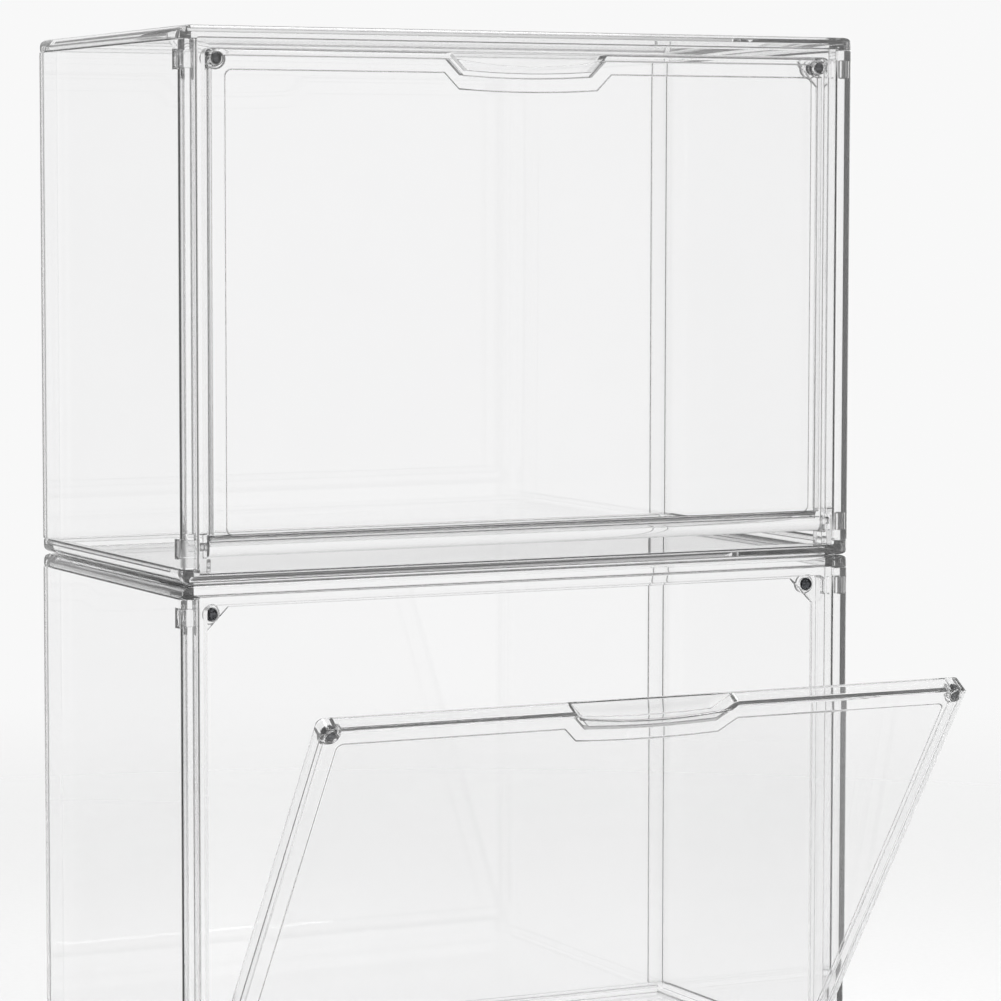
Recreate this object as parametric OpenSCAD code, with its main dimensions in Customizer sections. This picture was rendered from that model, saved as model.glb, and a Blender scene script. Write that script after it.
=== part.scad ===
// Indoor greenhouse: two clear cases, one stacked on the other, each with a drop-down door.
// The origin is the centre of the lower case's underside. X runs to the right, Y to the back and Z up.
// Inside the modules a case stands with its front plane at Y = 0 and its underside at Z = 0.

/* [Case] */
// Width of one case
case_w = 320; // [260:1:400]
// Depth of one case, front plane to back
case_d = 167; // [130:1:240]
// Height of one case
case_h = 228.5; // [190:0.5:300]
// Air left between the lower case's top and the upper case's underside
stack_gap = 0.1; // [0.05:0.05:0.3]
// Radius of the rounded long edges, seen from the front
edge_r = 5; // [3:0.5:5.5]
// Radius of the upright edges, seen from above
corner_r = 3.5; // [2:0.5:5]
// Radius of the front edges of the top and base
front_r = 1.8; // [1:0.1:2.5]

/* [Panels] */
// Thickness of the side and back plates
wall_t = 2.6; // [2:0.1:3.2]
// Thickness of the floor and roof plates
plate_t = 2.4; // [1.8:0.1:2.8]
// Width of the rim round the base and top, and of the side panels' front edge
rim_w = 7.8; // [7:0.1:9]
// Height of the base panel's rim at the sides and back
base_rim_h = 6.3; // [5.8:0.1:8]
// Height of the base panel's rim under the front frame
base_front_h = 4.5; // [3.8:0.1:5.2]
// Height of the top panel's rim at the sides and back
top_rim_h = 5.6; // [5.5:0.1:7]
// Height of the top panel's rim over the front frame
top_front_h = 5.1; // [4:0.1:5.4]
// Depth of the grooves that the panels drop into
groove_depth = 2; // [1.5:0.1:2.2]
// Thickness of the side panels' tongues
tongue_t = 1.2; // [1:0.1:1.4]
// Depth of the side panels' thick front edge
front_edge_d = 5; // [4:0.1:5.4]
// Width of the side panels' return flange at the back
back_flange_w = 10; // [7:0.5:14]
// Thickness of that flange
back_flange_t = 2.4; // [1.8:0.1:2.6]
// Clearance of a panel in its seat
seat_gap = 0.15; // [0.1:0.05:0.2]

/* [Front frame] */
// Distance of the frame's front behind the front plane
frame_recess = 1.8; // [1:0.1:2.4]
// Distance of the door stop behind the front plane
stop_y = 9.4; // [9.2:0.1:11]
// Thickness of the door stop
stop_t = 2.2; // [1.8:0.1:3]
// How far the door stop reaches behind the door
stop_reach = 1.3; // [0.8:0.1:2.6]
// Width of the chamfered corner webs behind the door
web_w = 11; // [9:0.5:14]
// Height of those webs
web_h = 11; // [9:0.5:14]
// Height of a snap tab
tab_h = 7.4; // [5:0.1:10]
// Depth of a snap tab
tab_d = 3; // [2.4:0.1:3.4]
// Distance of a snap tab from the frame's top or bottom
tab_inset = 4.4; // [3:0.1:8]
// How far a snap tab stays inside the case's outer face
tab_short = 0.5; // [0.3:0.1:1]

/* [Door] */
// Distance of the door's side edges from the case's sides
door_side = 12; // [11.5:0.1:14]
// Distance of the door's top edge under the case's top
door_top = 9.4; // [9.2:0.1:12]
// Distance of the door's bottom edge over the case's underside
door_bottom = 10.8; // [10:0.1:13]
// Gap between the door's edge and the frame
door_gap = 0.4; // [0.3:0.1:0.6]
// Distance of the door's front behind the front plane
door_y = 0.2; // [0:0.1:0.5]
// Thickness of the door's plate
door_t = 2.4; // [1.8:0.1:2.8]
// Depth of the door's rim, front to back
door_rim_d = 8.4; // [7.4:0.1:8.6]
// Thickness of the door's rim
door_rim_t = 2.6; // [2:0.1:3.4]
// Width of the thicker border of the door's plate
border_w = 8.4; // [6:0.1:10]
// Extra thickness of that border
border_t = 1.1; // [0.6:0.1:1.6]
// Radius of the door's front edges
door_edge_r = 1.6; // [1:0.1:1.8]
// Radius of the door's top corners
door_corner_r = 3; // [2:0.1:4]
// How far the lower door stands open at rest, in degrees
lower_open = 34; // [0:1:80]

/* [Hinge] */
// Radius of the round hinge bead along the door's bottom
bead_r = 4.4; // [3.8:0.1:4.6]
// Radius of the moulded hinge pins
pin_r = 1.6; // [1.2:0.1:1.9]
// Length of a hinge pin outside the door
pin_l = 3; // [2.4:0.1:3.2]
// Running clearance round a hinge pin
pin_clear = 0.06; // [0.03:0.01:0.1]

/* [Finger pocket] */
// Width of the pocket's trapezoid at the door's top edge
pocket_top_w = 80; // [60:1:110]
// Width of the trapezoid at its bottom
pocket_bottom_w = 61; // [44:1:90]
// Height of the trapezoid, without the sag of its bottom
pocket_h = 9.4; // [8.5:0.1:12]
// Sag of the curved bottom
pocket_sag = 1.1; // [0.4:0.1:2]
// Thickness of the pocket's side, bottom and back walls
pocket_wall = 1.8; // [1.2:0.1:2]
// Thickness of the pocket's back wall
pocket_back_t = 1.2; // [1:0.1:1.6]
// Thickness of the finger lip
lip_t = 1.5; // [1.2:0.1:2]
// Distance of the lip's ends under the door's top edge
lip_end = 2.2; // [1.5:0.1:3]
// Further dip of the lip in the middle
lip_dip = 3.3; // [2:0.1:4]

/* [Magnets] */
// Radius of a ball magnet
ball_r = 2.8; // [2.2:0.1:3]
// Clearance of a ball in its bore
ball_gap = 0.1; // [0.05:0.01:0.15]
// Wall of the boss round a ball
boss_wall = 1.3; // [1:0.1:1.6]
// Distance of the balls from the case's sides
ball_side = 16.5; // [16.5:0.1:18]
// Distance of the balls under the case's top
ball_top = 13.4; // [13.4:0.1:14.5]
// Skin left in front of a ball in the door
ball_skin = 0.6; // [0.5:0.1:0.9]
// Gap between the door's ball and the frame's ball when shut
ball_air = 0.5; // [0.3:0.1:0.8]

/* [Hidden] */
$fn = 48;

// Length of an overshoot that makes a cut run clean through
over = 1;
half_w = case_w / 2;
clear_plastic = [0.86, 0.9, 0.92, 0.35];
magnet_steel = [0.32, 0.33, 0.35];

// Heights in a case
floor_z = plate_t;
roof_z = case_h - plate_t;
base_groove_z = base_rim_h - groove_depth;
top_groove_z = case_h - top_rim_h + groove_depth;
side_z0 = base_rim_h + seat_gap;
side_z1 = case_h - top_rim_h - seat_gap;

// Back panel, inside the side panels' return flanges
back_y1 = case_d - back_flange_t - seat_gap;
back_y0 = back_y1 - wall_t;
back_half_w = half_w - wall_t - seat_gap;

// Stretch of the side panels' tongues, clear of the corners
tongue_y0 = stop_y + stop_t + 4;
tongue_y1 = back_y0 - 4;

// Front frame
frame_half_w = half_w - rim_w - seat_gap;
frame_z0 = base_front_h + seat_gap;
frame_z1 = case_h - top_front_h - seat_gap;
frame_y1 = stop_y + stop_t;
opening_half_w = half_w - door_side + door_gap;
opening_z0 = door_bottom - door_gap;
opening_z1 = case_h - door_top + door_gap;
stop_half_w = half_w - door_side - stop_reach;
stop_z1 = case_h - door_top - stop_reach;
tab_y0 = front_edge_d + seat_gap;
tab_z_low = side_z0 + tab_inset;
tab_z_high = side_z1 - tab_inset - tab_h;

// Door and hinge
door_half_w = half_w - door_side;
door_z1 = case_h - door_top;
rim_y1 = door_y + door_rim_d;
hinge_y = door_y + bead_r;
hinge_z = door_bottom + bead_r;
bead_room = 0.6;
stop_z0 = hinge_z + bead_r + bead_room;
bore_l = pin_l - door_gap + 0.2;

// Finger pocket: half widths follow the slant of the trapezoid
slant = (pocket_top_w - pocket_bottom_w) / 2 / pocket_h;
slant_step = sqrt(1 + slant * slant);
pocket_y0 = door_y + lip_t;
pocket_y1 = rim_y1 - pocket_back_t;
arc_steps = 16;

// Magnets
ball_x = half_w - ball_side;
ball_z = case_h - ball_top;
boss_r = ball_r + ball_gap + boss_wall;
head_half_w = stop_half_w - web_w - boss_r;
door_ball_y = door_y + ball_skin + ball_r + ball_gap;
door_boss_y1 = door_ball_y + ball_r - 0.6;
frame_ball_y = door_ball_y + 2 * ball_r + ball_air;
frame_boss_y1 = frame_ball_y + ball_r + ball_gap + ball_skin;

// Rectangle from [x0, y0] to [x1, y1] with its own radius at each corner, named by side and end.
module soft_rect(x0, y0, x1, y1, low_left = 0, low_right = 0, high_right = 0, high_left = 0) {
    difference() {
        translate([x0, y0]) square([x1 - x0, y1 - y0]);
        corner_cut(x0, y0, 1, 1, low_left);
        corner_cut(x1, y0, -1, 1, low_right);
        corner_cut(x1, y1, -1, -1, high_right);
        corner_cut(x0, y1, 1, -1, high_left);
    }
}

// What rounding takes off a corner at [x, y], whose inside lies towards [sx, sy].
module corner_cut(x, y, sx, sy, r) {
    if (r > 0)
        difference() {
            translate([x - (sx < 0 ? r : over), y - (sy < 0 ? r : over)]) square(r + over);
            translate([x + sx * r, y + sy * r]) circle(r);
        }
}

// Extrudes an outline drawn in X and Z from y0 to y1.
module along_y(y0, y1) {
    translate([0, y1, 0]) rotate([90, 0, 0]) linear_extrude(y1 - y0) children();
}

// Extrudes an outline drawn in Y and Z from x0 to x1.
module along_x(x0, x1) {
    translate([x0, 0, 0]) rotate([90, 0, 90]) linear_extrude(x1 - x0) children();
}

// Box between two opposite corners.
module span(low, high) {
    translate(low) cube(high - low);
}

// A piece and its mirror image across the middle of the case.
module both_sides() {
    children();
    mirror([1, 0, 0]) children();
}

// Outer form of a case between two heights: rounded from the front, the side and above.
module case_form(z0, z1) {
    intersection() {
        along_y(0, case_d) soft_rect(-half_w, 0, half_w, case_h, edge_r, edge_r, edge_r, edge_r);
        along_x(-half_w, half_w) soft_rect(0, 0, case_d, case_h, front_r, corner_r, corner_r, front_r);
        translate([0, 0, z0]) linear_extrude(z1 - z0)
            soft_rect(-half_w, 0, half_w, case_d, corner_r, corner_r, corner_r, corner_r);
    }
}

// Grooves of a rim for the side panels' tongues and for the back panel, from z0 to z1.
module panel_grooves(z0, z1) {
    both_sides()
        span([half_w - wall_t - seat_gap, tongue_y0 - seat_gap, z0],
             [half_w - wall_t + tongue_t + seat_gap, tongue_y1 + seat_gap, z1]);
    span([-back_half_w - seat_gap, back_y0 - seat_gap, z0],
         [back_half_w + seat_gap, back_y1 + seat_gap, z1]);
}

module base_panel() {
    inner = half_w - rim_w;
    color(clear_plastic)
        difference() {
            case_form(0, base_rim_h);
            span([-inner, frame_y1 + seat_gap, floor_z], [inner, case_d - rim_w, base_rim_h + over]);
            span([-inner, -over, base_front_h], [inner, frame_y1 + over, base_rim_h + over]);
            panel_grooves(base_groove_z, base_rim_h + over);
        }
}

module top_panel() {
    inner = half_w - rim_w;
    color(clear_plastic)
        difference() {
            case_form(case_h - top_rim_h, case_h);
            span([-inner, frame_y1 + seat_gap, case_h - top_rim_h - over], [inner, case_d - rim_w, roof_z]);
            span([-inner, -over, case_h - top_rim_h - over], [inner, frame_y1 + over, case_h - top_front_h]);
            panel_grooves(case_h - top_rim_h - over, top_groove_z);
        }
}

// Plan of the left panel: thin wall, thick front edge and return flange at the back.
module side_plan() {
    intersection() {
        soft_rect(-half_w, 0, half_w, case_d, corner_r, corner_r, corner_r, corner_r);
        translate([-half_w, 0]) union() {
            square([wall_t, case_d]);
            square([rim_w, front_edge_d]);
            translate([0, case_d - back_flange_t]) square([back_flange_w, back_flange_t]);
        }
    }
}

// Space that a snap tab needs in the side panels, from height z.
module tab_window(z) {
    span([-half_w - over, tab_y0 - seat_gap, z - seat_gap],
         [-half_w + wall_t + over, tab_y0 + tab_d + seat_gap, z + tab_h + seat_gap]);
}

module left_panel() {
    tongue_x = -half_w + wall_t - tongue_t;
    color(clear_plastic)
        difference() {
            union() {
                translate([0, 0, side_z0]) linear_extrude(side_z1 - side_z0) side_plan();
                span([tongue_x, tongue_y0, base_groove_z + seat_gap],
                     [tongue_x + tongue_t, tongue_y1, top_groove_z - seat_gap]);
            }
            tab_window(tab_z_low);
            tab_window(tab_z_high);
        }
}

module right_panel() {
    mirror([1, 0, 0]) left_panel();
}

module back_panel() {
    color(clear_plastic)
        span([-back_half_w, back_y0, base_groove_z + seat_gap], [back_half_w, back_y1, top_groove_z - seat_gap]);
}

// Door stop seen from the front: a ledge up both sides and over the top, with a chamfered web in each top corner.
module stop_outline() {
    difference() {
        translate([-frame_half_w, stop_z0]) square([2 * frame_half_w, frame_z1 - stop_z0]);
        polygon([[-stop_half_w, stop_z0 - over], [stop_half_w, stop_z0 - over],
                 [stop_half_w, stop_z1 - web_h], [stop_half_w - web_w, stop_z1],
                 [-stop_half_w + web_w, stop_z1], [-stop_half_w, stop_z1 - web_h]]);
    }
}

// Snap tab on the left of the frame, from height z.
module snap_tab(z) {
    span([-half_w + tab_short, tab_y0, z], [-frame_half_w + over, tab_y0 + tab_d, z + tab_h]);
}

// The whole front frame: rim, stop ledge, snap tabs and bosses, with the bores of its balls and hinge pins.
module frame_moulding() {
    difference() {
        union() {
            along_y(frame_recess, stop_y)
                difference() {
                    translate([-frame_half_w, frame_z0]) square([2 * frame_half_w, frame_z1 - frame_z0]);
                    soft_rect(-opening_half_w, opening_z0, opening_half_w, opening_z1,
                              0, 0, door_corner_r, door_corner_r);
                }
            along_y(stop_y, frame_y1) stop_outline();
            both_sides() {
                snap_tab(tab_z_low);
                snap_tab(tab_z_high);
                intersection() {
                    translate([-ball_x, frame_boss_y1, ball_z]) rotate([90, 0, 0])
                        cylinder(r = boss_r, h = frame_boss_y1 - stop_y);
                    span([-frame_half_w, stop_y, 0], [0, frame_boss_y1, frame_z1]);
                }
            }
        }
        both_sides() {
            translate([-ball_x, frame_boss_y1 - ball_skin, ball_z]) rotate([90, 0, 0])
                cylinder(r = ball_r + ball_gap, h = frame_boss_y1);
            translate([-opening_half_w - bore_l, hinge_y, hinge_z]) rotate([0, 90, 0])
                cylinder(r = pin_r + pin_clear, h = bore_l + over);
        }
    }
}

// Where the straight head of the frame lies: its top bar between the corner webs.
module head_zone() {
    span([-head_half_w, 0, case_h / 2], [head_half_w, case_d, case_h]);
}

// The frame without its head: both sides, the bottom bar and the two top corners.
module front_frame() {
    color(clear_plastic)
        difference() {
            frame_moulding();
            head_zone();
        }
}

// The head of the frame, which meets the two top corners face to face.
module frame_head() {
    color(clear_plastic)
        intersection() {
            frame_moulding();
            head_zone();
        }
}

// Trapezoid of the finger pocket grown by g, from height z_top down to its curved bottom.
// The heights here are counted from the bottom line of the trapezoid.
function pocket_half(z, g) = pocket_bottom_w / 2 + z * slant + g * slant_step;
function pocket_bottom(t, g) = -g - pocket_sag * (1 - t * t);
function pocket_points(z_top, g) = concat(
    [[pocket_half(z_top, g), z_top], [-pocket_half(z_top, g), z_top]],
    [for (i = [0:arc_steps]) let (t = 2 * i / arc_steps - 1) [t * pocket_half(-g, g), pocket_bottom(t, g)]]);

// The trapezoid in the door's place, grown by g and run up past the door's top edge.
module pocket_outline(g, rise) {
    translate([0, door_z1 - pocket_h]) polygon(pocket_points(pocket_h + rise, g));
}

// What lies over the curved edge of the finger lip, wide enough to run into the pocket's side walls.
module lip_cut() {
    end = pocket_half(pocket_h, -pocket_wall);
    wide = end + pocket_wall;
    translate([0, door_z1])
        polygon(concat([[wide, -lip_end], [wide, 2 * over], [-wide, 2 * over], [-wide, -lip_end]],
                       [for (i = [0:arc_steps]) let (t = 2 * i / arc_steps - 1)
                           [t * end, -lip_end - lip_dip * (1 - t * t)]]));
}

// Outer form of the door: rounded corners, rounded front edges and a round bead along the hinge line.
module door_form() {
    intersection() {
        along_y(door_y, door_y + 2 * bead_r)
            soft_rect(-door_half_w, door_bottom, door_half_w, door_z1, 0, 0, door_corner_r, door_corner_r);
        along_x(-door_half_w, door_half_w)
            union() {
                soft_rect(door_y, hinge_z, door_y + 2 * bead_r, door_z1, 0, 0, 0, door_edge_r);
                translate([hinge_y, hinge_z]) circle(bead_r);
            }
        translate([0, 0, door_bottom]) linear_extrude(door_z1 - door_bottom)
            soft_rect(-door_half_w, door_y, door_half_w, door_y + 2 * bead_r, door_edge_r, door_edge_r, 0, 0);
    }
}

// The door's solid before its notch and bores are cut: plate, border, rim, bead and bosses.
module door_solid() {
    rim_in = door_half_w - door_rim_t;
    border_in = door_half_w - border_w;
    intersection() {
        door_form();
        union() {
            span([-half_w, door_y, door_bottom], [half_w, door_y + door_t, case_h]);
            along_y(door_y, door_y + door_t + border_t)
                difference() {
                    translate([-half_w, hinge_z]) square([case_w, case_h]);
                    difference() {
                        soft_rect(-border_in, hinge_z + bead_r, border_in, door_z1 - border_w,
                                  door_corner_r, door_corner_r, door_corner_r, door_corner_r);
                        pocket_outline(border_w - door_rim_t, 0);
                    }
                }
            along_y(door_y, rim_y1)
                difference() {
                    translate([-half_w, hinge_z]) square([case_w, case_h]);
                    translate([-rim_in, 0]) square([2 * rim_in, door_z1 - door_rim_t]);
                }
            along_x(-half_w, half_w) translate([hinge_y, hinge_z]) circle(bead_r);
            both_sides()
                translate([-ball_x, door_boss_y1, ball_z]) rotate([90, 0, 0])
                    cylinder(r = boss_r, h = door_boss_y1 - door_y);
        }
    }
}

// The door without its finger pocket, which fills the notch in its top edge.
module door() {
    color(clear_plastic) {
        difference() {
            door_solid();
            along_y(-over, rim_y1 + over) pocket_outline(0, over);
            both_sides()
                translate([-ball_x, case_d, ball_z]) rotate([90, 0, 0])
                    cylinder(r = ball_r + ball_gap, h = case_d - door_y - ball_skin);
        }
        both_sides()
            translate([-door_half_w - pin_l, hinge_y, hinge_z]) rotate([0, 90, 0])
                cylinder(r = pin_r, h = pin_l + bead_r);
    }
}

// The door's finger pocket: a cup, open at the top, that meets the sides of the notch face to face.
module door_pocket() {
    color(clear_plastic)
        intersection() {
            door_form();
            union() {
                difference() {
                    along_y(door_y, rim_y1) pocket_outline(0, over);
                    along_y(-over, pocket_y1) pocket_outline(-pocket_wall, 2 * over);
                }
                along_y(door_y, pocket_y0)
                    difference() {
                        pocket_outline(-pocket_wall / 2, over);
                        lip_cut();
                    }
            }
        }
}

// Ball magnet in the door (at door_ball_y) or in the frame (at frame_ball_y), on the left for side = -1.
module ball(side, y) {
    color(magnet_steel) translate([side * ball_x, y, ball_z]) sphere(ball_r);
}

// Puts a piece of one case in its tier: 0 is the lower case, 1 the upper one.
module tier(level) {
    translate([0, -case_d / 2, level * (case_h + stack_gap)]) children();
}

// Swings what rides on the door about the hinge pins, open by an angle in degrees.
module swung(angle) {
    translate([0, hinge_y, hinge_z]) rotate([angle, 0, 0]) translate([0, -hinge_y, -hinge_z]) children();
}

tier(0) base_panel();  // lower_base_panel
tier(0) top_panel();  // lower_top_panel
tier(0) left_panel();  // lower_left_panel
tier(0) right_panel();  // lower_right_panel
tier(0) back_panel();  // lower_back_panel
tier(0) front_frame();  // lower_front_frame
tier(0) frame_head();  // lower_frame_head
tier(0) swung(lower_open) door();  // lower_door
tier(0) swung(lower_open) door_pocket();  // lower_door_pocket
tier(0) ball(-1, frame_ball_y);  // lower_frame_magnet_left
tier(0) ball(1, frame_ball_y);  // lower_frame_magnet_right
tier(0) swung(lower_open) ball(-1, door_ball_y);  // lower_door_magnet_left
tier(0) swung(lower_open) ball(1, door_ball_y);  // lower_door_magnet_right
tier(1) base_panel();  // upper_base_panel
tier(1) top_panel();  // upper_top_panel
tier(1) left_panel();  // upper_left_panel
tier(1) right_panel();  // upper_right_panel
tier(1) back_panel();  // upper_back_panel
tier(1) front_frame();  // upper_front_frame
tier(1) frame_head();  // upper_frame_head
tier(1) door();  // upper_door
tier(1) door_pocket();  // upper_door_pocket
tier(1) ball(-1, frame_ball_y);  // upper_frame_magnet_left
tier(1) ball(1, frame_ball_y);  // upper_frame_magnet_right
tier(1) ball(-1, door_ball_y);  // upper_door_magnet_left
tier(1) ball(1, door_ball_y);  // upper_door_magnet_right
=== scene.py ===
# %% [markdown]
# The indoor greenhouse is two clear plastic cases, one on the other. Its parts come from an
# exact CAD model, which is loaded first: it gives the places, the joints and the overall box.

# %% Load the CAD model
import math

import bmesh
import bpy
from mathutils import Matrix, Vector


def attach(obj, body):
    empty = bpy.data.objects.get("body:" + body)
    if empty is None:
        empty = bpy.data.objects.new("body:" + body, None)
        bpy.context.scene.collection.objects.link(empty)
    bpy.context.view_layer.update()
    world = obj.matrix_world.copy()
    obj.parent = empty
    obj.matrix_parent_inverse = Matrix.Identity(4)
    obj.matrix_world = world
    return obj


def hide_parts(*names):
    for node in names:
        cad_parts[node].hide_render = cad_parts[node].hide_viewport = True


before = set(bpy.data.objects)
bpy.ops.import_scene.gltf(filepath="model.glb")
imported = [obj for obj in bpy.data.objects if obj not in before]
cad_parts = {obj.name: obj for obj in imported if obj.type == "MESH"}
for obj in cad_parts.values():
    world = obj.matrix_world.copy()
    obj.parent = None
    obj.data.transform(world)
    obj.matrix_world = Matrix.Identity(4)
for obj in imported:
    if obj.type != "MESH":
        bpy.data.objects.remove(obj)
bpy.ops.object.select_all(action="DESELECT")
scene = bpy.context.scene
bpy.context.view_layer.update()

# %% [markdown]
# Sizes are in millimetres, as on a workshop drawing, and each is written once. A case stands
# with its front plane at y = 0 and its underside at z = 0; one function turns such a point
# into the scene's metres, where the middle of the case's depth lies at y = 0.

# %% Sizes of one case
MM = 0.001
case_w, case_d, case_h = 320.0, 167.0, 228.5
stack_gap = 0.1
half_w = case_w / 2
edge_r, corner_r, front_r = 5.0, 3.5, 1.8
wall_t, plate_t = 2.6, 2.4
rim_w = 7.8
base_rim_h, base_front_h = 6.3, 4.5
top_rim_h, top_front_h = 5.6, 5.1
seat_gap = 0.15
over = 1.0


def at(x, y, z):
    """A point of the case, in the scene's metres."""
    return Vector((x, y - case_d / 2, z)) * MM


print("one case is", case_w, "x", case_d, "x", case_h, "mm")

# %% [markdown]
# Clear moulded parts are easiest to build the way a toolmaker thinks of them: a solid block,
# less what is milled away. Each block is a cube that is added at its size and place, and a
# drum is the same for round bosses, pins and holes. Applying the transforms then puts the
# size and place into the mesh, so that the object itself stays at the origin.

# %% Blocks and drums
def settle(name):
    """Names the new object and puts its place into its mesh."""
    piece = bpy.context.object
    piece.name = piece.data.name = name
    bpy.ops.object.transform_apply(location=True, rotation=True, scale=True)
    return piece


def block(name, low, high):
    """A box between two opposite corners, in millimetres."""
    a, b = at(*low), at(*high)
    bpy.ops.object.select_all(action="DESELECT")
    bpy.ops.mesh.primitive_cube_add(size=1, location=(a + b) / 2, scale=b - a)
    return settle(name)


def drum(name, start, end, radius, facets=64):
    """A cylinder between two points on a line along X or Y, in millimetres."""
    a, b = at(*start), at(*end)
    line = b - a
    turn = (0, math.pi / 2, 0) if abs(line.x) > abs(line.y) else (math.pi / 2, 0, 0)
    bpy.ops.object.select_all(action="DESELECT")
    bpy.ops.mesh.primitive_cylinder_add(
        vertices=facets, radius=radius * MM, depth=line.length, location=(a + b) / 2, rotation=turn)
    return settle(name)


print("helpers: block, drum")

# %% [markdown]
# A block's own edges are rounded before it is used, in edit mode. Edges are found in code by
# their direction and place, in edge mode, and are only ever selected: to deselect one would
# also drop the corners that it shares with a chosen neighbour.

# %% Round chosen edges
X, Y, Z = Vector((1, 0, 0)), Vector((0, 1, 0)), Vector((0, 0, 1))
along_axis = 0.99
near = 1.0


def pick_only(piece):
    """Selects one object alone and makes it the active one."""
    bpy.ops.object.select_all(action="DESELECT")
    bpy.context.view_layer.objects.active = piece
    piece.select_set(True)


def edit(piece, pick="VERT"):
    """Opens a piece in edit mode with nothing selected, to pick corners, edges or faces."""
    scene.tool_settings.mesh_select_mode = [pick == kind for kind in ("VERT", "EDGE", "FACE")]
    pick_only(piece)
    bpy.ops.object.mode_set(mode="EDIT")
    bpy.ops.mesh.select_all(action="DESELECT")
    return bmesh.from_edit_mesh(piece.data)


def anywhere(middle):
    return True


def at_front(middle):
    return middle.y < near


def at_back(middle):
    return middle.y > case_d - near


def up_high(middle):
    return middle.z > case_h / 2


def round_edges(piece, axis, test, radius, segments=8):
    """Rounds the straight edges that run along an axis and whose middle passes the test."""
    mesh = edit(piece, "EDGE")
    for edge in mesh.edges:
        a, b = (v.co for v in edge.verts)
        middle = (a + b) / 2 / MM
        middle.y += case_d / 2
        if abs((b - a).normalized().dot(axis)) > along_axis and test(middle):
            edge.select_set(True)
    bpy.ops.mesh.bevel(offset=radius * MM, segments=segments, affect="EDGES", clamp_overlap=False)
    bpy.ops.object.mode_set(mode="OBJECT")
    return piece


print("helpers: edit, round_edges")

# %% [markdown]
# Two solids are combined with the Boolean modifier, which is applied at once: a difference
# mills one away from the other, a union welds them, and an intersection trims the first to
# the second. A level cut needs no second solid, because bisect does it and fills the face.

# %% Cut, weld, trim and slice
def apply(piece, kind, **settings):
    """Adds a modifier with its settings and applies it."""
    change = piece.modifiers.new(kind.lower(), kind)
    for name, value in settings.items():
        setattr(change, name, value)
    pick_only(piece)
    bpy.ops.object.modifier_apply(modifier=change.name)


def combine(piece, tool, how):
    """Applies one Boolean modifier and removes the tool."""
    apply(piece, "BOOLEAN", operation=how, object=tool, solver="EXACT")
    bpy.data.meshes.remove(tool.data)
    return piece


def cut(piece, *tools):
    for tool in tools:
        combine(piece, tool, "DIFFERENCE")
    return piece


def weld(piece, *tools):
    for tool in tools:
        combine(piece, tool, "UNION")
    return piece


def trim(piece, form):
    return combine(piece, form, "INTERSECT")


def slice_off(piece, height, keep_low):
    """Cuts a piece level at a height and keeps the part below or above, with a closed face."""
    edit(piece)
    bpy.ops.mesh.select_all(action="SELECT")
    bpy.ops.mesh.bisect(plane_co=(0, 0, height * MM), plane_no=(0, 0, 1), use_fill=True,
                        clear_outer=keep_low, clear_inner=not keep_low)
    bpy.ops.object.mode_set(mode="OBJECT")
    return piece


print("helpers: cut, weld, trim, slice_off")

# %% [markdown]
# A cut leaves knife-sharp edges, and no mould does: in clear plastic it is the small radius on
# each edge that draws the soft dark and light lines. So a finished piece gets one bevel on its
# sharp edges, and weighted normals keep its big flat faces perfectly flat. The Bevel modifier
# would shrink every radius to suit the shortest edge on the piece, so the edges are picked in
# code instead: those that turn sharply beside a face that lies square to an axis.

# %% Soften a finished piece
join_distance = 0.00003  # metres
sliver_angle, sharp_angle, smooth_angle = math.radians(0.5), math.radians(40), math.radians(35)
square_on = 0.9999
mould_segments = 3


def even_normals(piece):
    """Lets the big flat faces decide the shading of their corners."""
    apply(piece, "WEIGHTED_NORMAL", keep_sharp=True, weight=80)


def open_edges(piece):
    """How many edges don't join exactly two faces; a closed solid has none."""
    mesh = bmesh.new()
    mesh.from_mesh(piece.data)
    count = sum(1 for edge in mesh.edges if len(edge.link_faces) != 2)
    mesh.free()
    return count


def soften(piece, radius):
    """Gives the sharp edges their moulding radius and smooth, weighted normals."""
    edit(piece)
    bpy.ops.mesh.select_all(action="SELECT")
    bpy.ops.mesh.remove_doubles(threshold=join_distance)
    bpy.ops.mesh.dissolve_limited(angle_limit=sliver_angle)
    bpy.ops.mesh.select_all(action="SELECT")
    bpy.ops.mesh.dissolve_degenerate(threshold=join_distance)
    bpy.ops.object.mode_set(mode="OBJECT")
    mesh = edit(piece, "EDGE")
    for edge in mesh.edges:
        square = any(max(abs(part) for part in face.normal) > square_on for face in edge.link_faces)
        if square and edge.calc_face_angle(0) > sharp_angle:
            edge.select_set(True)
    bpy.ops.mesh.bevel(offset=radius * MM, segments=mould_segments, affect="EDGES",
                       clamp_overlap=False)
    bpy.ops.object.mode_set(mode="OBJECT")
    bpy.ops.object.shade_smooth_by_angle(angle=smooth_angle)
    even_normals(piece)
    print(piece.name, len(piece.data.polygons), "faces,", open_edges(piece), "open edges")
    return piece


# %% [markdown]
# The outside of a case is rounded three ways: round its long edges seen from the front, its
# upright edges seen from above, and its front and back edges seen from the side. Three
# rounded blocks that intersect give just that, and the base and top are sliced from it.

# %% The outer form of a case
def case_form():
    """A solid block with the outline of a whole case."""
    form = block("form", (-half_w, 0, -over), (half_w, case_d, case_h + over))
    round_edges(form, Z, anywhere, corner_r)
    barrel = block("barrel", (-half_w, -over, 0), (half_w, case_d + over, case_h))
    round_edges(barrel, Y, anywhere, edge_r, segments=12)
    loaf = block("loaf", (-half_w - over, 0, 0), (half_w + over, case_d, case_h))
    round_edges(loaf, X, at_front, front_r, segments=6)
    round_edges(loaf, X, at_back, corner_r)
    return trim(trim(form, barrel), loaf)


print("rounding of the case's long edges:", edge_r, "mm")

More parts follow.
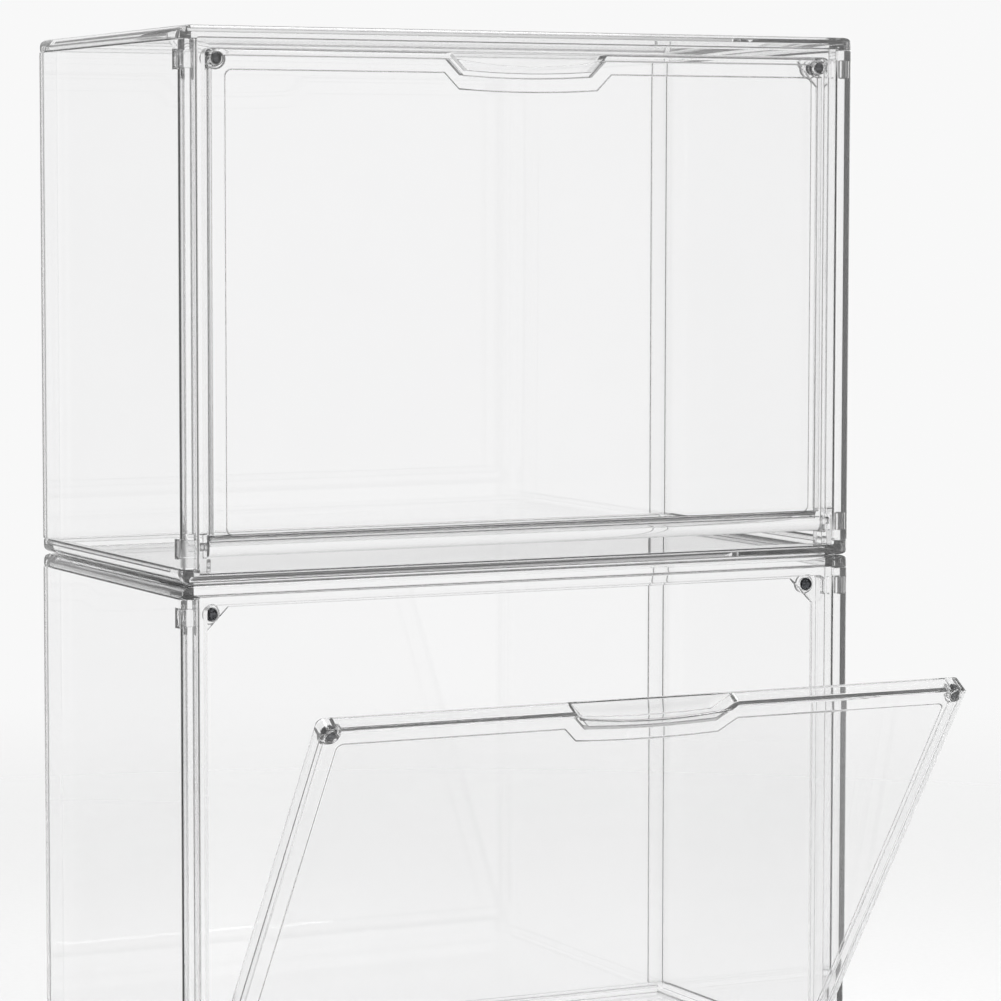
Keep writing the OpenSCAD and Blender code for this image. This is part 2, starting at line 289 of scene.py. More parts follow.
# %% [markdown]
# The side and back panels of a real case drop into grooves in its base and top. A groove is a
# block that is milled away, wider than the tongue that sits in it by a gap on each side.

# %% Grooves for the side and back panels
groove_depth, tongue_t = 2.0, 1.2
tongue_y0, tongue_inset = 15.6, 4.0
back_flange_t = 2.4
back_y1 = case_d - back_flange_t - seat_gap
back_y0 = back_y1 - wall_t
back_half_w = half_w - wall_t - seat_gap
tongue_y1 = back_y0 - tongue_inset
tongue_z0 = base_rim_h - groove_depth + seat_gap
tongue_z1 = case_h - top_rim_h + groove_depth - seat_gap


def grooves(z0, z1):
    """Three blocks to mill away between two heights: left, right and back."""
    inner, outer = half_w - wall_t - seat_gap, half_w - wall_t + tongue_t + seat_gap
    y0, y1 = tongue_y0 - seat_gap, tongue_y1 + seat_gap
    return (block("groove", (-outer, y0, z0), (-inner, y1, z1)),
            block("groove", (inner, y0, z0), (outer, y1, z1)),
            block("groove", (-back_half_w - seat_gap, back_y0 - seat_gap, z0),
                  (back_half_w + seat_gap, back_y1 + seat_gap, z1)))


print("tongues reach from z", round(tongue_z0, 2), "to", round(tongue_z1, 2), "mm")

# %% [markdown]
# The base panel is a shallow tray: the lowest slice of the outer form, with the floor milled
# out between its rims, a lower rim under the front frame, and the grooves.

# %% Base panel
stop_y, stop_t = 9.4, 2.2
frame_y1 = stop_y + stop_t
inner_w = half_w - rim_w
tray_r = 0.6


def base_panel():
    tray = slice_off(case_form(), base_rim_h, keep_low=True)
    tray.name = "lower_base_panel_moulded"
    high = base_rim_h + over
    cut(tray,
        block("floor", (-inner_w, frame_y1 + seat_gap, plate_t), (inner_w, case_d - rim_w, high)),
        block("sill", (-inner_w, -over, base_front_h), (inner_w, frame_y1 + over, high)),
        *grooves(base_rim_h - groove_depth, high))
    return soften(tray, tray_r)


base = base_panel()

# %% [markdown]
# The top panel is the same idea from the other end of the outer form: the roof plate with
# rims that hang down, grooved from below.

# %% Top panel
lid_r = 0.45


def top_panel():
    lid = slice_off(case_form(), case_h - top_rim_h, keep_low=False)
    lid.name = "lower_top_panel_moulded"
    low = case_h - top_rim_h - over
    roof_y0, roof_z = frame_y1 + seat_gap, case_h - plate_t
    cut(lid,
        block("roof", (-inner_w, roof_y0, low), (inner_w, case_d - rim_w, roof_z)),
        block("lintel", (-inner_w, -over, low), (inner_w, frame_y1 + over, case_h - top_front_h)),
        *grooves(low, case_h - top_rim_h + groove_depth))
    return soften(lid, lid_r)


top = top_panel()

# %% [markdown]
# A side panel starts as a thin wall. Two bisects mark where its thick front edge and its
# return flange end, and the inner faces of those strips are extruded inwards. A Boolean union
# could add them too, but extruding keeps the mesh as simple as the part.

# %% Thick strips of a side panel
front_edge_d, back_flange_w = 5.0, 10.0
facing = 0.9


def mark_depth(wall, depth):
    """Draws a line round the wall at a depth, without cutting anything away."""
    edit(wall)
    bpy.ops.mesh.select_all(action="SELECT")
    bpy.ops.mesh.bisect(plane_co=at(0, depth, 0), plane_no=(0, 1, 0))
    bpy.ops.object.mode_set(mode="OBJECT")


def thicken(wall, reach, y0, y1):
    """Extrudes the inner face between two depths until the wall is as thick as reach."""
    mesh = edit(wall, "FACE")
    for face in mesh.faces:
        depth = face.calc_center_median().y / MM + case_d / 2
        if face.normal.x > facing and y0 < depth < y1:
            face.select_set(True)
    bpy.ops.mesh.extrude_region_move(
        TRANSFORM_OT_translate={"value": ((reach - wall_t) * MM, 0, 0)})
    bpy.ops.object.mode_set(mode="OBJECT")


print("front edge", rim_w, "mm wide, back flange", back_flange_w, "mm wide")

# %% [markdown]
# Tongues for the grooves are welded on above and below, and windows for the frame's snap tabs
# are cut near the top and bottom of the front edge. The right panel is a mirrored copy.
# Mirroring turns a shape inside out, so its normals are made consistent again.

# %% Side panels
side_z0, side_z1 = base_rim_h + seat_gap, case_h - top_rim_h - seat_gap
tab_h, tab_d, tab_inset = 7.4, 3.0, 4.4
tab_y0 = front_edge_d + seat_gap
tab_heights = (side_z0 + tab_inset, side_z1 - tab_inset - tab_h)
rim_r, panel_r = 1.1, 0.55
touch = 0.1


def outer_corner(middle):
    return middle.x < -half_w + touch and (at_front(middle) or at_back(middle))


def inner_rim(middle):
    return middle.x > -half_w + rim_w - touch


def left_panel():
    wall = block("lower_left_panel_moulded", (-half_w, 0, side_z0), (-half_w + wall_t, case_d, side_z1))
    mark_depth(wall, front_edge_d)
    mark_depth(wall, case_d - back_flange_t)
    thicken(wall, rim_w, 0, front_edge_d)
    thicken(wall, back_flange_w, case_d - back_flange_t, case_d)
    round_edges(wall, Z, outer_corner, corner_r)
    round_edges(wall, Z, inner_rim, rim_r)
    tongue_x = -half_w + wall_t - tongue_t
    for z0, z1 in ((tongue_z0, side_z0 + over), (side_z1 - over, tongue_z1)):
        weld(wall, block("tongue", (tongue_x, tongue_y0, z0), (tongue_x + tongue_t, tongue_y1, z1)))
    for z in tab_heights:
        cut(wall, block("window", (-half_w - over, tab_y0 - seat_gap, z - seat_gap),
                        (-half_w + wall_t + over, tab_y0 + tab_d + seat_gap, z + tab_h + seat_gap)))
    return soften(wall, panel_r)


def other_side(piece, name):
    """A mirrored copy across the middle of the case."""
    pick_only(piece)
    bpy.ops.object.duplicate()
    twin = bpy.context.object
    twin.name = twin.data.name = name
    twin.scale.x = -1
    bpy.ops.object.transform_apply(location=True, rotation=True, scale=True)
    edit(twin)
    bpy.ops.mesh.select_all(action="SELECT")
    bpy.ops.mesh.normals_make_consistent(inside=False)
    bpy.ops.object.mode_set(mode="OBJECT")
    even_normals(twin)
    return twin


left = left_panel()
right = other_side(left, "lower_right_panel_moulded")

# %% [markdown]
# The back panel is a flat sheet that drops into the grooves behind the cabin. A block is all
# that it needs; its softened edges still draw the line at each rear post.

# %% Back panel
sheet_r = 0.8


def back_panel():
    return soften(block("lower_back_panel_moulded", (-back_half_w, back_y0, tongue_z0),
                        (back_half_w, back_y1, tongue_z1)), sheet_r)


back = back_panel()

# %% [markdown]
# The front frame is shaped by what it carries, so the door and the magnets are measured first.
# The door is a tray that swings about a line inside the round bead along its bottom. A magnet
# ball sits in each top corner of the door, and its partner sits behind it in the frame.

# %% Sizes of the door and its hinge
door_side, door_top, door_bottom, door_gap = 12.0, 9.4, 10.8, 0.4
door_y, door_t, door_rim_d, door_rim_t = 0.2, 2.4, 8.4, 2.6
border_w, border_t = 8.4, 1.1
door_edge_r, door_corner_r = 1.6, 3.0
bead_r, pin_r, pin_l, pin_clear = 4.4, 1.6, 3.0, 0.06
door_half_w, door_z1, rim_y1 = half_w - door_side, case_h - door_top, door_y + door_rim_d
hinge_y, hinge_z = door_y + bead_r, door_bottom + bead_r
pin_facets, bead_facets = 48, 72
print("hinge line at y", round(hinge_y, 2), "and z", round(hinge_z, 2), "mm")

# %% Sizes of the magnets' seats
ball_r, ball_gap, ball_skin, ball_air = 2.8, 0.1, 0.6, 0.5
ball_inset, ball_drop = 16.5, 13.4
boss_wall, boss_short = 1.3, 0.6
ball_x, ball_z = half_w - ball_inset, case_h - ball_drop
seat_r = ball_r + ball_gap
boss_r = seat_r + boss_wall
door_ball_y = door_y + ball_skin + ball_r + ball_gap
frame_ball_y = door_ball_y + 2 * ball_r + ball_air
frame_boss_y1 = frame_ball_y + ball_r + ball_gap + ball_skin
sides = (-1, 1)
print("magnets at x", ball_x, "and z", round(ball_z, 2), "mm")

# %% [markdown]
# The front frame is a ring with a ledge behind it that stops the door. The ledge's opening is
# cut with a block whose two top edges have a one-segment bevel: that leaves the chamfered
# webs in the corners, where two round bosses hold the magnets. Snap tabs grow from its sides,
# and each side has a bore for the door's hinge pin.

# %% Sizes of the front frame
frame_recess, stop_reach, web = 1.8, 1.3, 11.0
bead_clear, bore_end, tab_skin = 0.6, 0.2, 0.5
frame_half_w = half_w - rim_w - seat_gap
frame_z0, frame_z1 = base_front_h + seat_gap, case_h - top_front_h - seat_gap
opening_half_w = half_w - door_side + door_gap
opening_z0, opening_z1 = door_bottom - door_gap, case_h - door_top + door_gap
stop_half_w, stop_z1 = half_w - door_side - stop_reach, case_h - door_top - stop_reach
stop_z0 = hinge_z + bead_r + bead_clear
bore_l = pin_l - door_gap + bore_end
frame_r = 0.4
print("door opening:", round(2 * opening_half_w, 2), "mm wide")


# %% Front frame
def frame_ring():
    """The ring with the door's opening and, behind it, the ledge."""
    ring = block("lower_front_frame_moulded", (-frame_half_w, frame_recess, frame_z0),
                 (frame_half_w, frame_y1, frame_z1))
    opening = block("opening", (-opening_half_w, -over, opening_z0),
                    (opening_half_w, stop_y, opening_z1))
    round_edges(opening, Y, up_high, door_corner_r)
    ledge = block("ledge", (-stop_half_w, 0, 0), (stop_half_w, frame_y1 + over, stop_z1))
    round_edges(ledge, Y, up_high, web, segments=1)
    below = block("below", (-half_w, stop_y, -over), (half_w, frame_y1 + over, stop_z0))
    return cut(ring, opening, ledge, below)


def fit_frame_side(ring, side):
    """Adds one side's boss and snap tabs, then cuts its magnet seat and hinge bore."""
    x = side * ball_x
    boss = drum("boss", (x, frame_y1 - over, ball_z), (x, frame_boss_y1, ball_z), boss_r)
    trim(boss, block("reach", (-frame_half_w, 0, 0), (frame_half_w, case_d, frame_z1)))
    weld(ring, boss)
    tab_x0, tab_x1 = sorted((side * (frame_half_w - over), side * (half_w - tab_skin)))
    for z in tab_heights:
        weld(ring, block("tab", (tab_x0, tab_y0, z), (tab_x1, tab_y0 + tab_d, z + tab_h)))
    bore_x0, bore_x1 = side * (opening_half_w - over), side * (opening_half_w + bore_l)
    cut(ring,
        drum("ball_seat", (x, 0, ball_z), (x, frame_boss_y1 - ball_skin, ball_z), seat_r),
        drum("pin_hole", (bore_x0, hinge_y, hinge_z), (bore_x1, hinge_y, hinge_z),
             pin_r + pin_clear, pin_facets))


def front_frame():
    ring = frame_ring()
    for side in sides:
        fit_frame_side(ring, side)
    return soften(ring, frame_r)


ring = front_frame()

# %% [markdown]
# The finger pocket dips into the door's top rim. It is a wedge: a block whose bottom is scaled
# narrower in edit mode and then trimmed by a very large drum, which gives it the slow curve of
# the real one. The same wedge, grown or shrunk, cuts the tray round the pocket and its hollow.

# %% Finger pocket
pocket_top_w, pocket_bottom_w, pocket_h, pocket_sag = 80.0, 61.0, 9.4, 1.1
pocket_wall, pocket_back_t, lip_t, lip_end, lip_dip = 1.8, 1.2, 1.5, 2.2, 3.3
slant = (pocket_top_w - pocket_bottom_w) / 2 / pocket_h
arc_facets = 720


def pocket_half(z, grow):
    """Half the wedge's width at a height over its bottom line, grown all round."""
    return pocket_bottom_w / 2 + z * slant + grow * math.sqrt(1 + slant * slant)


def arc_drum(half, rise, low, y0, y1):
    """A drum so large that its lowest arc climbs by rise over half its width."""
    radius = (half * half + rise * rise) / (2 * rise)
    return drum("arc", (0, y0, low + radius), (0, y1, low + radius), radius, arc_facets)


def wedge(name, grow, y0, y1, rise):
    """The pocket's wedge between two depths, grown all round and raised past the door's top."""
    bottom = -grow - pocket_sag
    high = pocket_h + rise
    top_half, low_half = pocket_half(high, grow), pocket_half(bottom, grow)
    base_z = door_z1 - pocket_h
    piece = block(name, (-top_half, y0, base_z + bottom), (top_half, y1, base_z + high))
    mesh = edit(piece, "FACE")
    for face in mesh.faces:
        if face.normal.z < -facing:
            face.select_set(True)
    bpy.ops.transform.resize(value=(low_half / top_half, 1, 1))
    bpy.ops.object.mode_set(mode="OBJECT")
    arc = arc_drum(pocket_half(-grow, grow), pocket_sag, base_z + bottom, y0 - over, y1 + over)
    return trim(piece, arc)


print("finger pocket:", pocket_top_w, "mm wide at the top,", pocket_bottom_w, "mm at the bottom")

# %% [markdown]
# The door is a tray seen from behind: a plate with a thicker border and a rim on three sides.
# Its slab is trimmed by two rounded blocks, which round the sides and the top of its face as
# a mould does. The tray and the thinner panel inside the border are milled out from behind,
# and the wedge is first cut from both, so that walls stay standing round the pocket.

# %% Door slab and tray
def door_slab():
    """The door's outline, solid, from the hinge line up."""
    slab = block("upper_door_moulded", (-door_half_w, door_y, hinge_z), (door_half_w, rim_y1, door_z1))
    round_edges(slab, Y, up_high, door_corner_r)
    face = block("face", (-door_half_w, door_y, 0), (door_half_w, rim_y1 + over, door_z1))
    round_edges(face, Z, at_front, door_edge_r, segments=6)
    brow = block("brow", (-half_w, door_y, 0), (half_w, rim_y1 + over, door_z1))
    round_edges(brow, X, lambda middle: at_front(middle) and up_high(middle), door_edge_r,
                segments=6)
    return trim(trim(slab, face), brow)


def door_millings():
    """What is milled out of the slab from behind: the tray, and the panel inside the border."""
    rim_in, border_in = door_half_w - door_rim_t, door_half_w - border_w
    tray = block("tray", (-rim_in, door_y + door_t + border_t, 0),
                 (rim_in, rim_y1 + over, door_z1 - door_rim_t))
    cut(tray, wedge("pocket", grow=0, y0=0, y1=case_d, rise=over))
    panel = block("panel", (-border_in, door_y + door_t, hinge_z + bead_r),
                  (border_in, rim_y1, door_z1 - border_w))
    round_edges(panel, Y, anywhere, door_corner_r, segments=6)
    cut(panel, wedge("pocket", grow=border_w - door_rim_t, y0=0, y1=case_d, rise=over))
    return tray, panel


print("door:", 2 * door_half_w, "mm wide")

# %% [markdown]
# Along the door's bottom runs the round bead with a hinge pin at each end, and a boss behind
# each top corner takes the magnet. The pocket is hollowed from the front, and its lip, whose
# upper edge dips in the middle, is welded back across the opening.

# %% Door
door_r = 0.5


def fit_door_side(leaf, side):
    """Adds one side's magnet boss and hinge pin."""
    x = side * ball_x
    boss_y1 = door_ball_y + ball_r - boss_short
    boss = drum("boss", (x, door_y + door_t, ball_z), (x, boss_y1, ball_z), boss_r)
    trim(boss, block("reach", (-door_half_w, 0, 0), (door_half_w, case_d, door_z1)))
    weld(leaf, boss,
         drum("pin", (side * (door_half_w - over), hinge_y, hinge_z),
              (side * (door_half_w + pin_l), hinge_y, hinge_z), pin_r, pin_facets))


def finger_lip():
    """The lip across the pocket's front, dipping towards its middle."""
    lip_half, lip_z = pocket_half(pocket_h, -pocket_wall), door_z1 - lip_end - lip_dip
    wide = lip_half + 2 * pocket_wall
    dip = block("dip", (-wide, -over, lip_z), (wide, rim_y1, door_z1 + 2 * over))
    trim(dip, arc_drum(lip_half, lip_dip, lip_z, -2 * over, case_d))
    lip = wedge("lip", grow=-pocket_wall / 2, y0=door_y, y1=door_y + lip_t, rise=over)
    return cut(lip, dip)


def door_leaf():
    leaf = cut(door_slab(), *door_millings())
    weld(leaf, drum("bead", (-door_half_w, hinge_y, hinge_z), (door_half_w, hinge_y, hinge_z),
                    bead_r, bead_facets))
    for side in sides:
        fit_door_side(leaf, side)
    cut(leaf, wedge("hollow", grow=-pocket_wall, y0=-over, y1=rim_y1 - pocket_back_t, rise=over))
    for side in sides:
        cut(leaf, drum("ball_seat", (side * ball_x, door_y + ball_skin, ball_z),
                       (side * ball_x, case_d, ball_z), seat_r))
    weld(leaf, finger_lip())
    return soften(leaf, door_r)


leaf = door_leaf()

# %% [markdown]
# Both cases come from the same moulds, so the upper pieces are copies with a mesh of their
# own, moved up by one case and the stacking gap. The lower door is swung open about its
# hinge line, and every piece rides on the CAD body that it belongs to.

# %% Where the copies go
lower_open = 34.0
here = Matrix.Identity(4)
lift = Matrix.Translation((0, 0, (case_h + stack_gap) * MM))
hinge = Matrix.Translation(at(0, hinge_y, hinge_z))
swing = hinge @ Matrix.Rotation(math.radians(lower_open), 4, "X") @ hinge.inverted()
print("upper case lifted by", round(case_h + stack_gap, 1), "mm, lower door open by", lower_open, "degrees")


# %% Place the pieces in both cases
def place(piece, name, matrix, body, *nodes):
    """Copies a piece with its own mesh, puts its place into the mesh and lets it ride."""
    pick_only(piece)
    bpy.ops.object.duplicate()
    copy = bpy.context.object
    copy.name = copy.data.name = name
    copy.matrix_world = matrix
    bpy.ops.object.transform_apply(location=True, rotation=True, scale=True)
    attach(copy, body)
    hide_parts(*nodes)
    return copy


clear_pieces = []
moulds = {"base_panel": base, "top_panel": top, "left_panel": left, "right_panel": right,
          "back_panel": back, "front_frame": ring}
for tier, matrix in (("lower", here), ("upper", lift)):
    for part, mould in moulds.items():
        nodes = [tier + "_" + part] + ([tier + "_frame_head"] if mould is ring else [])
        clear_pieces.append(place(mould, nodes[0] + "_clear", matrix, "case_stack", *nodes))
for tier, matrix in (("lower", swing), ("upper", lift)):
    clear_pieces.append(place(leaf, tier + "_door_clear", matrix, tier + "_door_leaf",
                              tier + "_door", tier + "_door_pocket"))
for mould in (*moulds.values(), leaf):
    bpy.data.meshes.remove(mould.data)
print(len(clear_pieces), "clear pieces")

# %% [markdown]
# Shader maths reads best as ordinary arithmetic. A small class wraps a socket, so that an
# expression such as 1 - mask adds its Math nodes by itself. A second one wraps a node tree
# and adds any node from its type, its settings and its inputs.

# %% Shader maths
class Wire:
    """The output of a node, usable in arithmetic."""

    def __init__(self, tree, socket):
        self.tree, self.socket = tree, socket

    def maths(self, operation, first, second):
        """The output of a Math node; each value is a wire or a number."""
        node = self.tree.add("ShaderNodeMath", {"operation": operation}, {0: first, 1: second})
        return Wire(self.tree, node.outputs[0])

    def __add__(self, other):
        return self.maths("ADD", self, other)

    def __radd__(self, other):
        return self.maths("ADD", other, self)

    def __sub__(self, other):
        return self.maths("SUBTRACT", self, other)

    def __rsub__(self, other):
        return self.maths("SUBTRACT", other, self)

    def __mul__(self, other):
        return self.maths("MULTIPLY", self, other)

    def __rmul__(self, other):
        return self.maths("MULTIPLY", other, self)

    def __lt__(self, other):
        return self.maths("LESS_THAN", self, other)

    def __gt__(self, other):
        return self.maths("GREATER_THAN", self, other)


print("maths on wires: add, subtract, multiply, compare")


# %% Node trees
class Tree:
    """A node tree that is filled by code."""

    def __init__(self, owner):
        owner.use_nodes = True
        self.tree = owner.node_tree
        self.tree.nodes.clear()

    def add(self, kind, settings=None, inputs=None):
        """A new node; an input that is a wire is linked, and any other is set as its value."""
        node = self.tree.nodes.new(kind)
        for name, value in (settings or {}).items():
            setattr(node, name, value)
        for key, value in (inputs or {}).items():
            if isinstance(value, Wire):
                self.tree.links.new(value.socket, node.inputs[key])
            else:
                node.inputs[key].default_value = value
        return node

    def wire(self, node, output=0):
        return Wire(self, node.outputs[output])

    def coordinates(self, kind="Object"):
        return self.wire(self.add("ShaderNodeTexCoord"), kind)

    def noise(self, coordinates, scale, detail):
        return self.wire(self.add("ShaderNodeTexNoise", inputs={
            "Vector": coordinates, "Scale": scale, "Detail": detail}))

    def bump(self, height, strength, distance):
        return self.wire(self.add("ShaderNodeBump", inputs={
            "Strength": strength, "Distance": distance, "Height": height}))

    def ramp(self, value, stops):
        """A colour ramp with its stops as pairs of a position and a colour."""
        node = self.add("ShaderNodeValToRGB", inputs={0: value})
        while len(node.color_ramp.elements) < len(stops):
            node.color_ramp.elements.new(0.5)
        for element, (position, colour) in zip(node.color_ramp.elements, stops):
            element.position, element.color = position, (*colour, 1)
        return self.wire(node)

    def surface(self, shader):
        self.add("ShaderNodeOutputMaterial", inputs={"Surface": self.wire(shader)})


def greys(*stops):
    """Ramp stops of plain grey, from pairs of a position and a level."""
    return [(position, (level, level, level)) for position, level in stops]


print("shader helpers: Wire, Tree, greys")

# %% [markdown]
# The cases are polished clear styrene: nearly colourless, with an index of refraction that
# bends the light at every rim. Moulding leaves a faint unevenness in the sheets and in their
# polish. Perfectly clean sheets would trap light for ever and show black posts, so a small
# share of the rays leaks straight through each surface, as it does where real plastic has
# fine scratches. Shadow rays all pass through, because clear plastic casts a light shadow.

# %% Clear plastic
leak = 0.035
styrene_ior = 1.49


def clear_plastic():
    material = bpy.data.materials.new("clear_plastic")
    tree = Tree(material)
    spot = tree.coordinates()
    waves = tree.noise(spot, scale=22.0, detail=2.0)
    polish = tree.noise(spot, scale=90.0, detail=4.0)
    tint = tree.ramp(waves, ((0.3, (0.988, 0.988, 0.989)), (0.7, (0.994, 0.994, 0.995))))
    bump = tree.bump(waves, strength=0.04, distance=0.0003)
    plastic = tree.add("ShaderNodeBsdfPrincipled", inputs={
        "Base Color": tint, "Roughness": 0.003 + polish * 0.012, "IOR": styrene_ior,
        "Transmission Weight": 1.0, "Normal": bump})
    shade = tree.add("ShaderNodeBsdfTransparent", inputs={"Color": (0.92, 0.92, 0.922, 1)})
    shadow = tree.wire(tree.add("ShaderNodeLightPath"), "Is Shadow Ray")
    passes = leak + shadow * (1 - leak)
    tree.surface(tree.add("ShaderNodeMixShader", inputs={
        0: passes, 1: tree.wire(plastic), 2: tree.wire(shade)}))
    return material


print("share that leaks through a surface:", leak)

# %% [markdown]
# The magnets are small steel balls with dark nickel plating. A metallic Principled shader
# does it, and fine noise in its tone, polish and height keeps the balls from looking drawn.

# %% Dark nickel of the magnets
def magnet_steel():
    material = bpy.data.materials.new("magnet_steel")
    tree = Tree(material)
    wear = tree.noise(tree.coordinates(), scale=700.0, detail=5.0)
    tone = tree.ramp(wear, ((0.3, (0.05, 0.052, 0.057)), (0.75, (0.14, 0.143, 0.152))))
    bump = tree.bump(wear, strength=0.15, distance=0.00005)
    tree.surface(tree.add("ShaderNodeBsdfPrincipled", inputs={
        "Base Color": tone, "Metallic": 1.0, "Roughness": 0.08 + wear * 0.14, "Normal": bump}))
    return material


print("material of the magnets: dark nickel")

# %% [markdown]
# The clear pieces are all modelled anew, but a ball is a ball: the CAD model's own eight
# magnets stay, and only get their material. The CAD solids that the clear pieces replace get
# the plastic too, so that no solid is left without a material.

# %% Give every piece its material
plastic, steel = clear_plastic(), magnet_steel()
for name, part in list(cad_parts.items()) + [(piece.name, piece) for piece in clear_pieces]:
    part.data.materials.clear()
    part.data.materials.append(steel if "magnet" in name else plastic)
print("materials:", [material.name for material in (plastic, steel)])

# %% [markdown]
# The camera stands where the photograph's did. Its place and lens were found by matching the
# corners of the cases. The photograph is a crop, so the lens's middle lies left of the
# picture's middle, and the small shift makes up for that.

# %% Camera
picture_px, focal_px, lens_middle_px = 1001, 3823, 400
sensor_mm, view_reach = 36, 50
camera_place = Vector((-0.75, -1.5275, 0.387))
azimuth, elevation, roll = (math.radians(angle) for angle in (-25.49, 4.53, -0.04))


def view_axes():
    """The camera's right, up and backward directions."""
    flat = Vector((math.cos(azimuth), math.sin(azimuth), 0))
    behind = Vector((math.sin(azimuth) * math.cos(elevation), -math.cos(azimuth) * math.cos(elevation),
                     math.sin(elevation)))
    rightward = flat * math.cos(roll) + behind.cross(flat) * math.sin(roll)
    return rightward, behind.cross(rightward), behind


camera_data = bpy.data.cameras.new("camera")
camera = bpy.data.objects.new("camera", camera_data)
scene.collection.objects.link(camera)
camera_data.sensor_width = sensor_mm
camera_data.lens = focal_px * sensor_mm / picture_px
camera_data.shift_x = (picture_px / 2 - lens_middle_px) / picture_px
camera_data.clip_end = view_reach
view = Matrix(view_axes()).transposed().to_4x4()
view.translation = camera_place
camera.matrix_world = view
scene.camera = camera
print("camera lens:", round(camera_data.lens, 1), "mm")

# %% [markdown]
# The studio is a pale room, and clear plastic has no colour of its own: it is drawn by the
# light that it bends. Three ramps, across, up and down, and front to back, are multiplied
# into one grey for each direction: dark at the sides, above and below, and palest behind.

# %% Grey room
world = bpy.data.worlds.new("studio")
scene.world = world
room = Tree(world)
split = room.add("ShaderNodeSeparateXYZ", inputs={0: room.coordinates("Generated")})
side, ahead, height = (room.wire(split, axis) for axis in ("X", "Y", "Z"))


def from_zero(direction):
    """A direction's part from -1 to 1, moved to the ramp's range of 0 to 1."""
    return direction * 0.5 + 0.5


across = room.ramp(from_zero(side), greys(
    (0.0, 0.5), (0.07, 0.2), (0.12, 0.4), (0.22, 0.92), (0.78, 0.96), (0.86, 0.4), (0.93, 0.2), (1.0, 0.5)))
upright = room.ramp(from_zero(height), greys(
    (0.0, 0.3), (0.3, 0.5), (0.38, 1), (0.56, 1), (0.64, 0.5), (0.82, 0.35), (1.0, 0.8)))
depth = room.ramp(from_zero(ahead), greys((0.0, 0.86), (0.4, 0.6), (0.6, 0.8), (0.85, 1)))
grey = across
for factor in (upright, depth):
    grey = room.wire(room.add("ShaderNodeMix", {"data_type": "RGBA", "blend_type": "MULTIPLY"},
                              {0: 1.0, 6: grey, 7: factor}), 2)
print("ramps of the grey room: across, upright, depth")

# %% [markdown]
# The camera, plain reflections and light that passes straight through a sheet all see one
# pale backdrop, so that the sheets stay clear from every side. Light that was mirrored before
# it passed out again, as inside a rim, sees the grey room, and that draws the rims as lines.

# %% Pale backdrop
backdrop_grey = 0.94
ray = room.add("ShaderNodeLightPath")
seen, glossy, bent = (room.wire(ray, kind) for kind in (
    "Is Camera Ray", "Is Glossy Ray", "Is Transmission Ray"))
never_mirrored = room.wire(ray, "Glossy Depth") < 0.5
backdrop = seen + glossy * (1 - bent) + bent * never_mirrored
colour = room.wire(room.add("ShaderNodeMix", {"data_type": "RGBA"}, {
    0: backdrop, 6: grey, 7: (backdrop_grey, backdrop_grey, backdrop_grey, 1)}), 2)
room.add("ShaderNodeOutputWorld", inputs={
    0: room.wire(room.add("ShaderNodeBackground", inputs={"Color": colour, "Strength": 1.0}))})
print("world:", world.name)

# %% [markdown]
# The floor is a round sheet of pale paper. It fades out before its edge can be seen, and it is
# thin all over, so that the pale room shows through it and the floor joins the backdrop.

# %% Floor
floor_r, floor_border, floor_facets = 2.4, 0.3, 128
thinness, fade_from, fade_to = 0.35, 0.35, 1.3
bpy.ops.mesh.primitive_circle_add(
    vertices=floor_facets, radius=floor_r, fill_type="NGON", location=(0, 0, 0))
floor = bpy.context.object
floor.name = floor.data.name = "floor"
bpy.ops.object.mode_set(mode="EDIT")
bpy.ops.mesh.select_all(action="SELECT")
bpy.ops.mesh.inset(thickness=floor_border, depth=0)
bpy.ops.object.mode_set(mode="OBJECT")
print("floor radius:", floor_r, "m")

# %% [markdown]
# The paper's material mixes a rough white surface with a see-through one. The share of the
# second grows smoothly with the distance from the middle, until nothing of the paper is left.

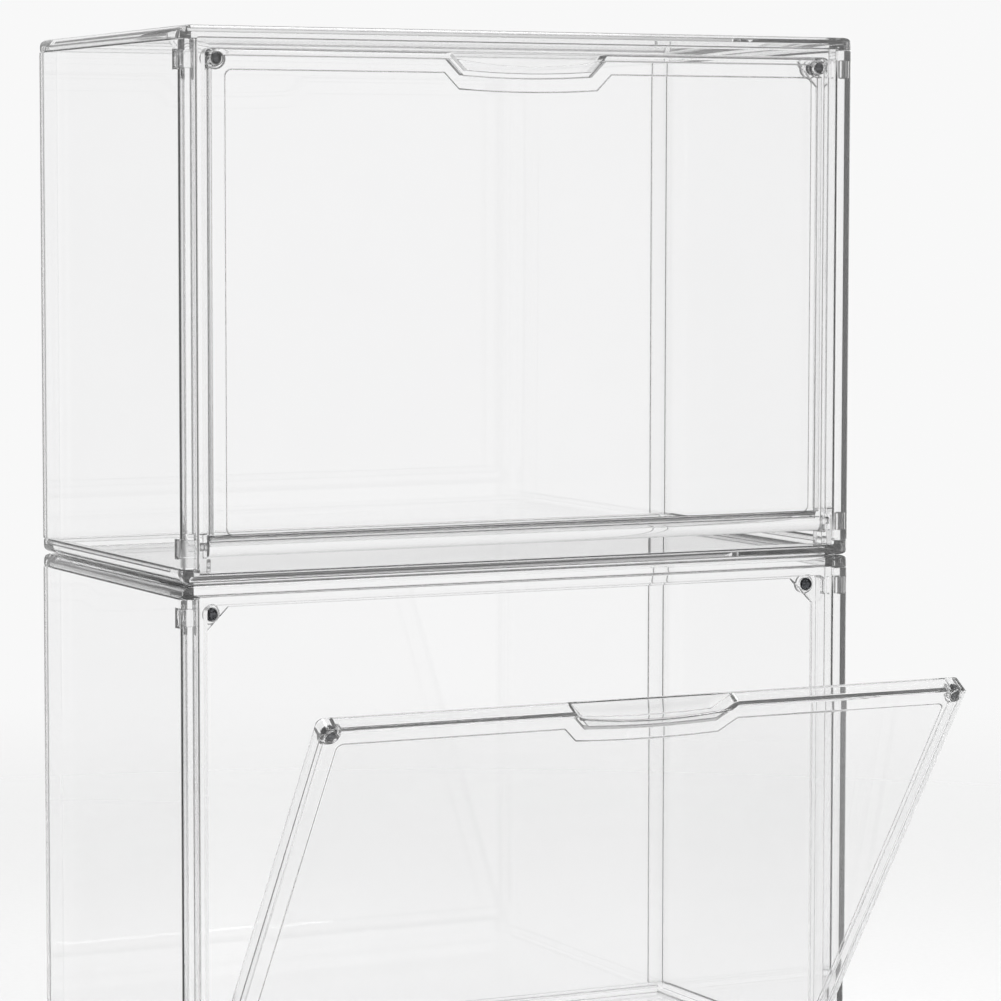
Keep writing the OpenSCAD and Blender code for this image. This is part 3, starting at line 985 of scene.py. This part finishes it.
# %% Paper of the floor
def floor_paper():
    material = bpy.data.materials.new("floor_paper")
    ground = Tree(material)
    spot = ground.coordinates()
    radius = ground.wire(ground.add("ShaderNodeVectorMath", {"operation": "LENGTH"}, {0: spot}), "Value")
    fibre = ground.noise(spot, scale=300.0, detail=3.0)
    paper = ground.ramp(fibre, greys((0.3, 0.9), (0.7, 0.92)))
    fade = ground.wire(ground.add("ShaderNodeMapRange", {"interpolation_type": "SMOOTHSTEP"}, {
        "Value": radius, "From Min": fade_from, "From Max": fade_to}))
    solid = ground.wire(ground.add("ShaderNodeBsdfPrincipled", inputs={
        "Base Color": paper, "Roughness": 0.9, "Specular IOR Level": 0.1}))
    gone = ground.wire(ground.add("ShaderNodeBsdfTransparent"))
    ground.surface(ground.add("ShaderNodeMixShader", inputs={
        0: thinness + fade * (1 - thinness), 1: solid, 2: gone}))
    return material


floor.data.materials.append(floor_paper())
print("floor material:", floor.data.materials[0].name)

# %% [markdown]
# Two round softboxes light the set: a large one above for the main light and soft shadow, and
# a weak one from the left, which the rims pick up. They stay out of what the plastic bends,
# so that no lamp is seen through a sheet.

# %% Soft lamps
def lamp(name, place, target, size, power):
    """A round area lamp that is turned towards its target."""
    bpy.ops.object.select_all(action="DESELECT")
    bpy.ops.object.light_add(type="AREA", location=place)
    light = bpy.context.object
    light.name = light.data.name = name
    light.data.shape = "DISK"
    light.data.size = size
    light.data.energy = power
    light.visible_transmission = False
    light.rotation_euler = (Vector(target) - Vector(place)).to_track_quat("-Z", "Y").to_euler()


lamp("softbox_above", place=(0.2, -0.3, 2.4), target=(0, 0, 0.2), size=1.8, power=40)
lamp("softbox_left", place=(-1.8, -1.4, 1.4), target=(0, 0, 0.25), size=1.2, power=10)

# %% [markdown]
# The Standard view shows colours as they are written. A ray that crosses both cases meets
# many faces and is mirrored again and again inside the rims, so it is followed for longer
# than usual: cut short, it would come back black and draw dark flecks.

# %% Colours and light paths
longest_path = 96
scene.view_settings.view_transform = "Standard"
scene.cycles.max_bounces = longest_path
scene.cycles.transmission_bounces = longest_path
scene.cycles.transparent_max_bounces = 32
print("light paths of up to", longest_path, "bounces")
